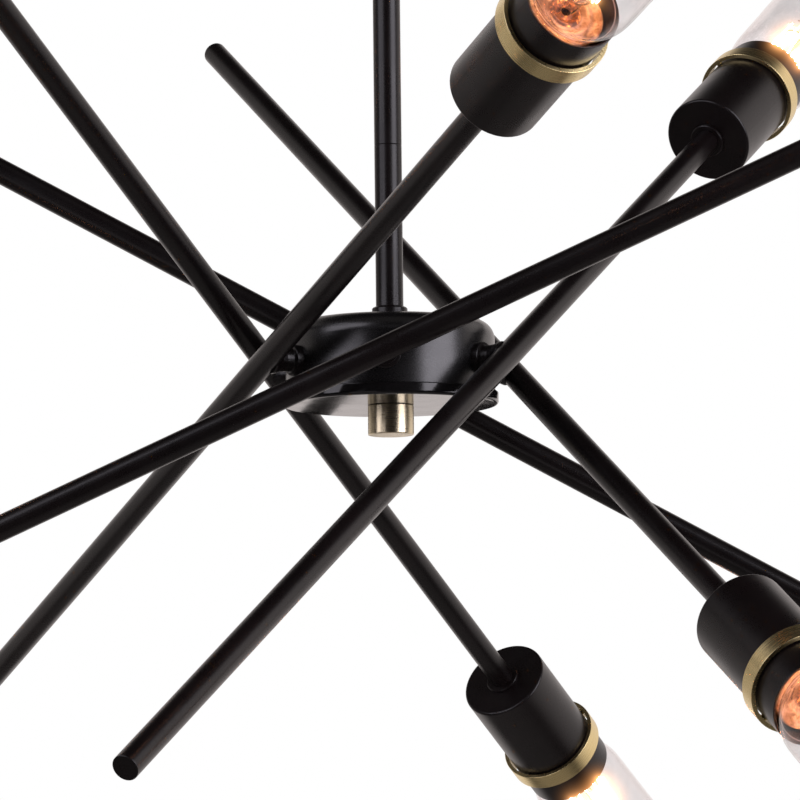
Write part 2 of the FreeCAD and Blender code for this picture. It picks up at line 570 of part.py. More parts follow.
pivots = []
for name, bearing, rise, lean, side in ARMS:
    a = math.radians(size(name + "_bearing"))
    th = math.radians(size(name + "_rise"))
    g = size(name + "_side")
    rad = V(math.cos(a), math.sin(a), 0)
    tan = V(-math.sin(a), math.cos(a), 0)
    ez = (tan * math.cos(th) + V(0, 0, 1) * math.sin(th)) * g
    ey = ez.cross(rad)
    base = rad * size("arm_ring") + V(0, 0, -hub_drop)
    m = FreeCAD.Matrix(rad.x, ey.x, ez.x, base.x, rad.y, ey.y, ez.y, base.y,
                       rad.z, ey.z, ez.z, base.z, 0, 0, 0, 1)
    frame = FreeCAD.Placement(m)
    tilt = FreeCAD.Rotation(V(0, 1, 0), -g * size(name + "_lean"))
    along = frame.multiply(FreeCAD.Placement(V(0, 0, 0), tilt))
    pivots.append((name, base, rad))

    # Tube, closed at the plain end, with a wire hole that faces the stub.
    tube = turned(
        name + "_tube",
        [("0", "-arm_plain"), ("arm_rad", "-arm_plain"), ("arm_rad", "arm_lamp + 7.0"),
         ("arm_rad - arm_wall", "arm_lamp + 7.0"), ("arm_rad - arm_wall", "-arm_plain + 1.5"),
         ("0", "-arm_plain + 1.5")],
        [("arm_rad", "-arm_plain", "0.5")])
    sk = sketch_on(tube, "YZ_Plane", name + "_wire_hole")
    circle(sk, "0", "0", "stub_bore")
    pocket(tube, sk, "arm_rad + 1.0")
    tube.Placement = along
    nodes.append(tube)

    # Stub: flange, neck flared to a saddle on the tube, and threaded spigot.
    stub = turned(
        name + "_stub_body",
        [(plate + " + 1.6", "stub_bore"), (plate + " + 1.6 - 11.2", "stub_bore"),
         (plate + " + 1.6 - 11.2", "spigot_rad - 0.4"), (plate + " + 1.6 - 10.6", "spigot_rad"),
         (plate + " + 1.55", "spigot_rad"), (plate + " + 1.55", "flange_rad"),
         (plate + " + 2.75", "flange_rad"), (plate + " + 3.0", "flange_rad - 0.3"),
         (plate + " + 3.2", "stub_rad + 0.3"), (plate + " + 3.6", "stub_rad"),
         ("-8.6", "stub_rad"), ("-6.4", "stub_rad + 0.35"), ("-4.6", "stub_rad + 0.95"),
         ("-3.2", "stub_rad + 1.35"), ("-2.4", "stub_rad + 1.25"), ("-1.9", "stub_bore")],
        axis="H_Axis")
    turn = FreeCAD.Placement(V(0, 0, 0), tilt)
    sk = sketch_on(stub, "XY_Plane", name + "_cope", turn)
    circle(sk, "0", "0", "arm_rad + 0.02")
    pocket(stub, sk, "40.0", both=True)
    wall_in = num(plate + " - hub_wall")
    washer = cut(name + "_lock_washer",
                 cyl(name + "_lw_blank", "7.0", "1.0", (wall_in - 0.7, 0, 0), (-1, 0, 0)),
                 cyl(name + "_lw_bore", "spigot_rad + 0.02", "4.0", (wall_in, 0, 0), (-1, 0, 0)))
    nut = cut(name + "_lock_nut",
              hexagon(name + "_ln_blank", 13.0, 4.5, (wall_in - 1.7, 0, 0), (-1, 0, 0)),
              cyl(name + "_ln_bore", "spigot_rad + 0.02", "9.0", (wall_in, 0, 0), (-1, 0, 0)))
    stub_set = group(name + "_stub", [stub, washer, nut])
    stub_set.Placement = frame
    nodes.append(stub_set)

    # Lamp cup: closed back with a raised collar round the tube.
    cup = turned(
        name + "_cup",
        [("arm_rad + 0.06", "arm_lamp - 1.8"), ("8.2", "arm_lamp - 1.8"), ("8.6", "arm_lamp - 1.4"),
         ("8.6", "arm_lamp"),
         ("cup_rad", "arm_lamp"), ("cup_rad", "arm_lamp + cup_long"),
         ("cup_rad - cup_wall", "arm_lamp + cup_long"), ("cup_rad - cup_wall", "arm_lamp + cup_wall"),
         ("arm_rad + 0.06", "arm_lamp + cup_wall")],
        [("cup_rad", "arm_lamp", "1.2"), ("cup_rad", "arm_lamp + cup_long", "0.4"),
         ("cup_rad - cup_wall", "arm_lamp + cup_long", "0.4")])
    cup.Placement = along
    nodes.append(cup)

    # Brass ring, clear of the cup, on three small feet.
    ring = turned(
        name + "_ring",
        [("band_rad - band_wall", "arm_lamp + band_off"), ("band_rad", "arm_lamp + band_off"),
         ("band_rad", "arm_lamp + band_off + band_wide"),
         ("band_rad - band_wall", "arm_lamp + band_off + band_wide")],
        [("band_rad", "arm_lamp + band_off", "0.25"), ("band_rad", "arm_lamp + band_off + band_wide", "0.25")])
    sk = sketch_on(ring, "YZ_Plane", name + "_foot",
                   FreeCAD.Placement(V(0, 0, num("cup_rad + 0.02")), FreeCAD.Rotation()))
    circle(sk, "0", "arm_lamp + band_off + band_wide*0.5", "1.6")
    foot = ring.newObject("PartDesign::Pad", name + "_foot_pad")
    foot.Profile = sk
    foot.Length = num("band_rad - cup_rad - 0.8")
    foot.setExpression("Length", expr("band_rad - cup_rad - 0.8"))
    doc.recompute()
    around(ring, foot, 3)
    if len(ring.Shape.Solids) != 1:
        raise RuntimeError("ring feet are loose")
    ring.Placement = along
    nodes.append(ring)

    # Lampholder: insulating body, screw shell and centre contact.
    body = turned(
        name + "_holder_body",
        [("arm_rad + 0.06", "arm_lamp + cup_wall"), ("holder_rad", "arm_lamp + cup_wall"),
         ("holder_rad", "arm_lamp + cup_wall + holder_long"),
         ("screw_rad + 1.1", "arm_lamp + cup_wall + holder_long"), ("screw_rad + 1.1", "arm_lamp + 12.5"),
         ("2.2", "arm_lamp + 12.5"), ("2.2", "arm_lamp + 7.6"), ("arm_rad + 0.06", "arm_lamp + 7.6")],
        [("holder_rad", "arm_lamp + cup_wall + holder_long", "1.0")])
    shell = turned(
        name + "_screw_shell",
        [("screw_rad + 0.5", "arm_lamp + 12.7"), ("screw_rad + 1.0", "arm_lamp + 12.7"),
         ("screw_rad + 1.0", "arm_lamp + 43.0"), ("screw_rad + 0.5", "arm_lamp + 43.0")])
    contact = turned(
        name + "_contact",
        [("0", "arm_lamp + 12.6"), ("4.5", "arm_lamp + 12.6"), ("3.5", "arm_lamp + 13.4"),
         ("0", "arm_lamp + 13.4")])
    holder = group(name + "_lampholder", [body, shell, contact])
    holder.Placement = along
    nodes.append(holder)

    # Lamp cap: screw shell with its ridges, closed by the contact button.
    ridges = []
    for k in range(5):
        z0 = 22.5 + 3.6 * k
        ridges += [("screw_rad - 0.55", "arm_lamp + %.2f" % z0),
                   ("screw_rad - 0.12", "arm_lamp + %.2f" % (z0 + 0.9)),
                   ("screw_rad", "arm_lamp + %.2f" % (z0 + 1.5)),
                   ("screw_rad - 0.12", "arm_lamp + %.2f" % (z0 + 2.1)),
                   ("screw_rad - 0.55", "arm_lamp + %.2f" % (z0 + 3.0))]
    cap = turned(
        name + "_cap_body",
        [("0", "arm_lamp + 13.5"), ("3.8", "arm_lamp + 13.5"), ("4.8", "arm_lamp + 14.3"),
         ("4.8", "arm_lamp + 15.0"), ("8.0", "arm_lamp + 16.6"), ("screw_rad - 1.4", "arm_lamp + 19.6"),
         ("screw_rad - 0.8", "arm_lamp + 20.6"), ("screw_rad - 0.7", "arm_lamp + 22.0")]
        + ridges +
        [("screw_rad - 0.3", "arm_lamp + 41.0"), ("screw_rad - 0.3", "arm_lamp + 42.5"),
         ("screw_rad - 0.85", "arm_lamp + 42.5"), ("screw_rad - 0.85", "arm_lamp + 24.0"),
         ("0", "arm_lamp + 20.0")])
    # Glass stem with the filament's support rod, inside the envelope.
    mount = turned(
        name + "_stem_body",
        [("0", "arm_lamp + 27.0"), ("10.4", "arm_lamp + 27.0"), ("10.4", "arm_lamp + 28.0"),
         ("7.5", "arm_lamp + 32.0"), ("5.2", "arm_lamp + 40.0"), ("4.2", "arm_lamp + 52.0"),
         ("3.4", "arm_lamp + 62.0"), ("1.7", "arm_lamp + 68.0"), ("1.5", "arm_lamp + 132.0"),
         ("2.2", "arm_lamp + 133.5"), ("1.5", "arm_lamp + 135.0"), ("0", "arm_lamp + 135.5")])
    lamp = group(name + "_bulb_cap", [cap, mount])
    lamp.Placement = along
    nodes.append(lamp)

    glass = glass_shell(name + "_bulb_glass")
    glass.Placement = along
    nodes.append(glass)

# ---------------------------------------------------------------------- write
doc.recompute()
for obj in doc.Objects:
    if "Invalid" in obj.State or "Error" in obj.State:
        raise RuntimeError("%s failed: %s" % (obj.Label, obj.State))
labels = [n.Label for n in nodes]
if len(set(labels)) != len(labels) or len(labels) > 60:
    raise RuntimeError("%d sub-parts, %d names" % (len(labels), len(set(labels))))
for n in nodes:
    s = n.Shape
    if s.isNull() or not s.isValid() or not s.Solids:
        raise RuntimeError("bad shape: " + n.Label)
    for one in s.Solids:
        if one.Volume <= 0:
            raise RuntimeError("inside-out solid: " + n.Label)
os.makedirs("parts", exist_ok=True)
for n in nodes:
    n.Shape.exportStep("parts/%s.step" % n.Label)
    b = n.Shape.BoundBox
    print("%-20s solids %d  volume %9.1f  x %.1f..%.1f  y %.1f..%.1f  z %.1f..%.1f" % (
        n.Label, len(n.Shape.Solids), n.Shape.Volume, b.XMin, b.XMax, b.YMin, b.YMax, b.ZMin, b.ZMax))
for name, at, axis in pivots:
    print("pivot %s at %.4f %.4f %.4f axis %.6f %.6f %.6f" % (name, at.x, at.y, at.z, axis.x, axis.y, axis.z))
print("%d sub-parts written" % len(nodes))
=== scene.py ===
import json
import math

import bmesh
import bpy
import numpy as np
from mathutils import Matrix, Vector

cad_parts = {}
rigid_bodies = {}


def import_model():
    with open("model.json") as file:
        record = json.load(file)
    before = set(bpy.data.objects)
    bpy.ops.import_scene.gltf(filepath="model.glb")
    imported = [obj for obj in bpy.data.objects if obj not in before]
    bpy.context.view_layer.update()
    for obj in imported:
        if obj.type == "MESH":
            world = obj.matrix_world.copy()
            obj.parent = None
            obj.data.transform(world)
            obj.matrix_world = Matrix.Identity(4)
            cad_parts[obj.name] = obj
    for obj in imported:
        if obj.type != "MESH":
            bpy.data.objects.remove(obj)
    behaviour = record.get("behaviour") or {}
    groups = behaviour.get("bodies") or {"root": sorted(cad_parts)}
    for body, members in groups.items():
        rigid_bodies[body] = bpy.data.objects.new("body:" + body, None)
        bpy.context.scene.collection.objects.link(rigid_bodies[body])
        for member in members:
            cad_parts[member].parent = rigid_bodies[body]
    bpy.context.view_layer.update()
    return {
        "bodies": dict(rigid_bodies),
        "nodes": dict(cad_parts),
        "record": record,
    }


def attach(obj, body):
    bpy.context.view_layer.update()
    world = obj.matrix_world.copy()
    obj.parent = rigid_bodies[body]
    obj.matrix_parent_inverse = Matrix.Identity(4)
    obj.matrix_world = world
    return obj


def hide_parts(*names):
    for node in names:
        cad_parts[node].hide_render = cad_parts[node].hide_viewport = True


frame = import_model()
NODES = frame["nodes"]
MM = 0.001

# Arms: name, bearing of the stub, rise, lean of the tube in its saddle, and
# whether the lamp is at the raised end (1) or the lowered one (-1).
ARMS = [
    ("arm1", -90.0, 24.34, -0.22, -1),
    ("arm2", -30.0, 31.73, 1.88, 1),
    ("arm3", 30.0, 32.43, -0.09, -1),
    ("arm4", 90.0, 28.91, 0.11, 1),
    ("arm5", 150.0, 33.76, -0.22, -1),
    ("arm6", 210.0, 21.36, -0.44, 1),
]
DROP, RING, LAMP = 462.5, 65.2, 246.0


def arm_frame(bearing, rise, lean, side):
    """Millimetres along the tube to metres in the shared frame."""
    a, th, g = math.radians(bearing), math.radians(rise), side
    rad = Vector((math.cos(a), math.sin(a), 0))
    tan = Vector((-math.sin(a), math.cos(a), 0))
    ez = (tan * math.cos(th) + Vector((0, 0, 1)) * math.sin(th)) * g
    ey = ez.cross(rad)
    base = (rad * RING + Vector((0, 0, -DROP))) * MM
    m = Matrix(((rad.x, ey.x, ez.x, base.x), (rad.y, ey.y, ez.y, base.y),
                (rad.z, ey.z, ez.z, base.z), (0, 0, 0, 1)))
    return m @ Matrix.Rotation(math.radians(-g * lean), 4, "Y") @ Matrix.Scale(MM, 4)


# ------------------------------------------------------------------ materials
class Mat:
    """A small helper round one node tree."""

    def __init__(self, name):
        self.mat = bpy.data.materials.new(name)
        self.mat.use_nodes = True
        self.tree = self.mat.node_tree
        self.tree.nodes.clear()
        self.out = self.node("ShaderNodeOutputMaterial")

    def node(self, kind, **settings):
        n = self.tree.nodes.new(kind)
        for key, value in settings.items():
            setattr(n, key, value)
        return n

    def link(self, a, b):
        self.tree.links.new(a, b)

    def coords(self):
        return self.node("ShaderNodeTexCoord").outputs["Object"]

    def noise(self, vector, scale, detail=2.0, rough=0.5):
        n = self.node("ShaderNodeTexNoise")
        n.inputs["Scale"].default_value = scale
        n.inputs["Detail"].default_value = detail
        n.inputs["Roughness"].default_value = rough
        self.link(vector, n.inputs["Vector"])
        return n.outputs["Fac"]

    def span(self, value, low, high, a=0.0, b=1.0):
        n = self.node("ShaderNodeMapRange")
        for key, v in (("From Min", a), ("From Max", b), ("To Min", low), ("To Max", high)):
            n.inputs[key].default_value = v
        self.link(value, n.inputs["Value"])
        return n.outputs["Result"]

    def math(self, kind, a, b=None):
        n = self.node("ShaderNodeMath", operation=kind)
        for i, v in enumerate((a, b)):
            if v is None:
                continue
            if isinstance(v, (int, float)):
                n.inputs[i].default_value = v
            else:
                self.link(v, n.inputs[i])
        return n.outputs[0]

    def ramp(self, value, stops):
        n = self.node("ShaderNodeValToRGB")
        r = n.color_ramp
        while len(r.elements) < len(stops):
            r.elements.new(0.5)
        for e, (p, c) in zip(r.elements, stops):
            e.position = p
            e.color = (*c, 1.0)
        self.link(value, n.inputs["Fac"])
        return n.outputs["Color"]

    def bump(self, height, distance, strength=1.0, normal=None):
        n = self.node("ShaderNodeBump")
        n.inputs["Strength"].default_value = strength
        n.inputs["Distance"].default_value = distance
        self.link(height, n.inputs["Height"])
        if normal is not None:
            self.link(normal, n.inputs["Normal"])
        return n.outputs["Normal"]

    def principled(self, **sockets):
        n = self.node("ShaderNodeBsdfPrincipled")
        for key, value in sockets.items():
            s = n.inputs[key.replace("_", " ")]
            if isinstance(value, bpy.types.NodeSocket):
                self.link(value, s)
            else:
                s.default_value = value
        self.link(n.outputs["BSDF"], self.out.inputs["Surface"])
        return n

    def along(self, axis, stretch):
        """Object coordinates stretched along an axis, for lines across it."""
        p = self.coords()
        dot = self.node("ShaderNodeVectorMath", operation="DOT_PRODUCT")
        self.link(p, dot.inputs[0])
        dot.inputs[1].default_value = axis
        scale = self.node("ShaderNodeVectorMath", operation="SCALE")
        scale.inputs[0].default_value = axis
        self.link(self.math("MULTIPLY", dot.outputs["Value"], stretch - 1.0), scale.inputs["Scale"])
        add = self.node("ShaderNodeVectorMath", operation="ADD")
        self.link(p, add.inputs[0])
        self.link(scale.outputs[0], add.inputs[1])
        return add.outputs[0]

    def tangent(self, axis):
        t = self.node("ShaderNodeVectorTransform", vector_type="VECTOR",
                      convert_from="OBJECT", convert_to="WORLD")
        t.inputs[0].default_value = axis
        return t.outputs[0]


def black_paint(name, dark, light, rough, peel, specular=0.5):
    """Sprayed black enamel or powder: faint mottling, orange peel, fine grain."""
    m = Mat(name)
    p = m.coords()
    mottled = m.ramp(m.noise(p, 22.0, 3.0), [(0.32, dark), (0.70, light)])
    grain = m.noise(p, 2600.0, 2.0)
    roughness = m.math("ADD", m.span(m.noise(p, 70.0, 4.0), rough - 0.035, rough + 0.035, 0.3, 0.7),
                       m.span(grain, -0.03, 0.03, 0.3, 0.7))
    height = m.math("ADD", m.math("MULTIPLY", m.noise(p, 620.0, 2.0), 1.0),
                    m.math("MULTIPLY", grain, 0.12))
    m.principled(Base_Color=mottled, Roughness=roughness, Specular_IOR_Level=specular,
                 Normal=m.bump(height, peel))
    return m.mat


def brushed_brass(name, axis, rough, warm, dark, line, anisotropic):
    """Brass turned and brushed round its axis: fine lines that run round it."""
    m = Mat(name)
    q = m.along(axis, 40.0)
    lines = m.noise(q, 70.0, 5.0, 0.7)
    fine = m.noise(q, 240.0, 2.0, 0.6)
    tone = m.ramp(m.math("ADD", m.math("MULTIPLY", lines, 0.65), m.math("MULTIPLY", m.noise(m.coords(), 60.0, 3.0), 0.35)),
                  [(0.34, dark), (0.66, warm)])
    roughness = m.span(lines, rough - 0.05, rough + 0.06, 0.3, 0.7)
    height = m.math("ADD", m.math("MULTIPLY", lines, 1.0), m.math("MULTIPLY", fine, 0.35))
    m.principled(Base_Color=tone, Metallic=1.0, Roughness=roughness, Anisotropic=anisotropic,
                 Tangent=m.tangent(axis), Normal=m.bump(height, line))
    return m.mat


def plated(name, light, dark, rough):
    m = Mat(name)
    p = m.coords()
    tone = m.ramp(m.noise(p, 130.0, 4.0), [(0.35, dark), (0.65, light)])
    m.principled(Base_Color=tone, Metallic=1.0, Roughness=m.span(m.noise(p, 400.0, 3.0), rough - 0.06, rough + 0.08, 0.3, 0.7),
                 Normal=m.bump(m.noise(p, 1200.0, 2.0), 0.00001))
    return m.mat


def moulded(name, light, dark, rough, subsurface=0.0):
    m = Mat(name)
    p = m.coords()
    tone = m.ramp(m.noise(p, 90.0, 4.0), [(0.3, dark), (0.7, light)])
    m.principled(Base_Color=tone, Roughness=m.span(m.noise(p, 300.0, 3.0), rough - 0.05, rough + 0.07, 0.3, 0.7),
                 Normal=m.bump(m.noise(p, 700.0, 3.0), 0.00002))
    return m.mat


def thin_glass(name, tint, streaks, wave):
    """Thin blown glass: light passes straight through, and reflects at its edges."""
    m = Mat(name)
    p = m.coords()
    normal = m.bump(m.noise(p, 45.0, 2.0), wave)
    facing = m.node("ShaderNodeLayerWeight")
    facing.inputs["Blend"].default_value = 0.5
    m.link(normal, facing.inputs["Normal"])
    schlick = m.math("ADD", m.math("MULTIPLY", m.math("POWER", facing.outputs["Facing"], 5.0), 0.95), 0.04)
    clear = m.node("ShaderNodeBsdfTransparent")
    m.link(m.ramp(m.noise(p, 60.0, 3.0), [(0.3, streaks), (0.7, tint)]), clear.inputs["Color"])
    gloss = m.node("ShaderNodeBsdfGlossy")
    gloss.inputs["Roughness"].default_value = 0.03
    gloss.inputs["Color"].default_value = (1, 1, 1, 1)
    m.link(normal, gloss.inputs["Normal"])
    mix = m.node("ShaderNodeMixShader")
    m.link(schlick, mix.inputs[0])
    m.link(clear.outputs[0], mix.inputs[1])
    m.link(gloss.outputs[0], mix.inputs[2])
    m.link(mix.outputs[0], m.out.inputs["Surface"])
    return m.mat


def glowing(name, colour, hot, strength):
    """Glowing wire, a little hotter in places along its length."""
    m = Mat(name)
    e = m.node("ShaderNodeEmission")
    m.link(m.ramp(m.noise(m.coords(), 300.0, 2.0), [(0.3, colour), (0.7, hot)]), e.inputs["Color"])
    e.inputs["Strength"].default_value = strength
    m.link(e.outputs[0], m.out.inputs["Surface"])
    m.mat.cycles.emission_sampling = "NONE"
    return m.mat


WARM_DARK, WARM_LIGHT = (0.0032, 0.0020, 0.0021), (0.0058, 0.0036, 0.0037)
M_ROD = black_paint("rod_black", WARM_DARK, WARM_LIGHT, 0.29, 0.000008, 0.40)
M_CUP = black_paint("cup_black", WARM_DARK, WARM_LIGHT, 0.30, 0.000007, 0.40)
M_HUB = black_paint("hub_black", (0.0030, 0.0027, 0.0029), (0.0055, 0.0050, 0.0054), 0.27, 0.000008, 0.72)
M_PLATE = black_paint("plate_black", (0.0030, 0.0027, 0.0029), (0.0055, 0.0050, 0.0054), 0.13, 0.000003, 0.55)
M_CANOPY = black_paint("canopy_black", WARM_DARK, WARM_LIGHT, 0.29, 0.000008, 0.40)
M_ZINC = plated("zinc_steel", (0.62, 0.62, 0.60), (0.46, 0.46, 0.45), 0.30)
M_HOLDER = moulded("porcelain", (0.82, 0.78, 0.71), (0.74, 0.69, 0.61), 0.16)
M_FINIAL = brushed_brass("polished_brass", (0, 0, 1), 0.29, (0.88, 0.77, 0.55), (0.75, 0.64, 0.43), 0.0000012, 0.55)
M_GLASS = thin_glass("clear_glass", (0.975, 0.962, 0.962), (0.945, 0.928, 0.928), 0.00012)
M_STEM_GLASS = thin_glass("stem_glass", (0.93, 0.90, 0.88), (0.84, 0.80, 0.77), 0.0002)
M_WIRE = plated("nickel_wire", (0.66, 0.60, 0.50), (0.42, 0.36, 0.28), 0.28)
M_FILAMENT = glowing("filament", (1.0, 0.36, 0.09), (1.0, 0.50, 0.18), 380.0)


def mica(name):
    """Pale mica with brown, swirled stains round its middle."""
    m = Mat(name)
    p = m.coords()
    swirl = m.noise(p, 95.0, 4.0, 0.65)
    tone = m.ramp(swirl, [(0.33, (0.035, 0.014, 0.007)), (0.45, (0.105, 0.066, 0.040)), (0.56, (0.21, 0.17, 0.15)), (0.70, (0.095, 0.056, 0.040))])
    m.principled(Base_Color=tone, Roughness=m.span(m.noise(p, 260.0, 3.0), 0.10, 0.30, 0.3, 0.7),
                 Normal=m.bump(m.noise(p, 120.0, 3.0), 0.0006))
    return m.mat


def painted_edge_highlight(name):
    """Pale metal for a thin ring at the envelope's edge: its pale colour is a painted highlight for the line of light
    that thick clear glass catches there, while the metal also reflects the lights.
    """
    m = Mat(name)
    tone = m.ramp(m.noise(m.coords(), 80.0, 3.0), [(0.3, (0.62, 0.56, 0.53)), (0.7, (0.85, 0.80, 0.78))])
    m.principled(Base_Color=tone, Metallic=1.0, Roughness=0.3, Alpha=m.span(m.noise(m.coords(), 60.0, 2.0), 0.3, 0.75, 0.3, 0.7))
    return m.mat


def getter(name):
    """Dark brown deposit with golden flecks in the middle of the disc."""
    m = Mat(name)
    spots = m.noise(m.coords(), 420.0, 3.0, 0.7)
    tone = m.ramp(spots, [(0.42, (0.030, 0.012, 0.006)), (0.56, (0.16, 0.065, 0.025)), (0.66, (0.85, 0.50, 0.14))])
    m.principled(Base_Color=tone, Metallic=m.span(spots, 0.0, 0.9, 0.55, 0.62), Roughness=0.28,
                 Normal=m.bump(m.noise(m.coords(), 500.0, 3.0), 0.0004))
    return m.mat


M_GETTER = getter("getter")
M_MICA = mica("mica")
# Pale metal for the ring that paints the highlight on the glass edge.
M_EDGE_HIGHLIGHT = painted_edge_highlight("painted_edge_highlight")
M_CAPINS = moulded("cap_insulator", (0.015, 0.013, 0.014), (0.008, 0.007, 0.008), 0.15)

SLOTS = {
    "canopy_black": M_CANOPY, "rod_black": M_ROD, "cup_black": M_CUP, "hub_black": M_HUB,
    "polished_brass": M_FINIAL, "zinc_steel": M_ZINC, "porcelain": M_HOLDER, "clear_glass": M_GLASS,
}
SLOT_OF = {s["node"]: s["material_slot"] for s in frame["record"]["subparts"]}


def wear(obj, mat):
    obj.data.materials.clear()
    obj.data.materials.append(mat)


def soften(obj, degrees=32.0):
    """Smooth shading with the real edges kept crisp."""
    mesh = obj.data
    mesh.polygons.foreach_set("use_smooth", np.ones(len(mesh.polygons), bool))
    mesh.set_sharp_from_angle(angle=math.radians(degrees))


for name, obj in NODES.items():
    slot = SLOT_OF.get(name)
    if slot in SLOTS:
        wear(obj, SLOTS[slot])
wear(NODES["bottom_plate"], M_PLATE)


# --------------------------------------------------------------- mesh makers
def finish_mesh(name, bm, mat, body):
    bmesh.ops.recalc_face_normals(bm, faces=bm.faces)
    mesh = bpy.data.meshes.new(name)
    bm.to_mesh(mesh)
    bm.free()
    obj = bpy.data.objects.new(name, mesh)
    bpy.context.scene.collection.objects.link(obj)
    mesh.materials.append(mat)
    soften(obj)
    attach(obj, body)
    return obj


def lathe(name, profile, m, mat, body, steps=72, closed=True):
    """Turns (radius, height) corners round the local Z axis; closed joins the last to the first."""
    bm = bmesh.new()
    rings = []
    for r, z in profile:
        if r < 1e-6:
            rings.append([bm.verts.new(m @ Vector((0, 0, z)))])
        else:
            rings.append([bm.verts.new(m @ Vector((r * math.cos(2 * math.pi * k / steps),
                                                   r * math.sin(2 * math.pi * k / steps), z)))
                          for k in range(steps)])
    pairs = list(zip(rings, rings[1:]))
    if closed and len(rings[0]) > 1 and len(rings[-1]) > 1:
        pairs.append((rings[-1], rings[0]))
    for a, b in pairs:
        for k in range(steps):
            j = (k + 1) % steps
            if len(a) == 1 and len(b) == 1:
                continue
            if len(a) == 1:
                bm.faces.new((a[0], b[k], b[j]))
            elif len(b) == 1:
                bm.faces.new((a[k], a[j], b[0]))
            else:
                bm.faces.new((a[k], a[j], b[j], b[k]))
    return finish_mesh(name, bm, mat, body)


def wires(name, lines, radius, m, mat, body, sides=8):
    """Round wires along polylines, all in one piece."""
    bm = bmesh.new()
    for points in lines:
        pts = [Vector(p) for p in points]
        n = len(pts)
        tangents = [(pts[min(i + 1, n - 1)] - pts[max(i - 1, 0)]).normalized() for i in range(n)]
        side = tangents[0].orthogonal().normalized()
        rings = []
        for i, (p, t) in enumerate(zip(pts, tangents)):
            side = (side - t * side.dot(t)).normalized()
            other = t.cross(side)
            rings.append([bm.verts.new(m @ (p + (side * math.cos(2 * math.pi * k / sides)
                                                 + other * math.sin(2 * math.pi * k / sides)) * radius))
                          for k in range(sides)])
        for a, b in zip(rings, rings[1:]):
            for k in range(sides):
                j = (k + 1) % sides
                bm.faces.new((a[k], a[j], b[j], b[k]))
        bm.faces.new(rings[0])
        bm.faces.new(rings[-1])
    return finish_mesh(name, bm, mat, body)


def arc(points, per=6):
    """A smooth line through the points (Catmull-Rom)."""
    pts = [Vector(p) for p in points]
    out = []
    for i in range(len(pts) - 1):
        p0, p1, p2, p3 = pts[max(i - 1, 0)], pts[i], pts[i + 1], pts[min(i + 2, len(pts) - 1)]
        for k in range(per):
            t = k / per
            out.append(0.5 * ((2 * p1) + (p2 - p0) * t + (2 * p0 - 5 * p1 + 4 * p2 - p3) * t * t
                              + (3 * p1 - p0 - 3 * p2 + p3) * t ** 3))
    out.append(pts[-1])
    return out


# --------------------------------------------------------------------- lamps
def cap(name, m, mat, body):
    """Lamp cap with its rolled helical thread, as one thin shell."""
    bm = bmesh.new()
    steps, rows, pitch = 96, 84, 3.63
    z0, z1 = LAMP + 21.0, LAMP + 42.4
    outer, inner = [], []
    for i in range(rows + 1):
        z = z0 + (z1 - z0) * i / rows
        fade = min(1.0, (z - z0) / 2.0, (z1 - 1.5 - z) / 2.0 if z < z1 - 1.5 else 0.0)
        ring, back = [], []
        for k in range(steps):
            a = 2 * math.pi * k / steps
            wave = 0.5 + 0.5 * math.cos(2 * math.pi * (z / pitch - a / (2 * math.pi)))
            r = 12.42 + 0.75 * wave * max(0.0, fade)
            ring.append(bm.verts.new(m @ Vector((r * math.cos(a), r * math.sin(a), z))))
            back.append(bm.verts.new(m @ Vector(((r - 0.25) * math.cos(a), (r - 0.25) * math.sin(a), z))))
        outer.append(ring)
        inner.append(back)
    for rows_ in (outer, inner):
        for a, b in zip(rows_, rows_[1:]):
            for k in range(steps):
                j = (k + 1) % steps
                bm.faces.new((a[k], a[j], b[j], b[k]))
    for a, b in ((outer[0], inner[0]), (outer[-1], inner[-1])):
        for k in range(steps):
            j = (k + 1) % steps
            bm.faces.new((a[k], a[j], b[j], b[k]))
    return finish_mesh(name, bm, mat, body)


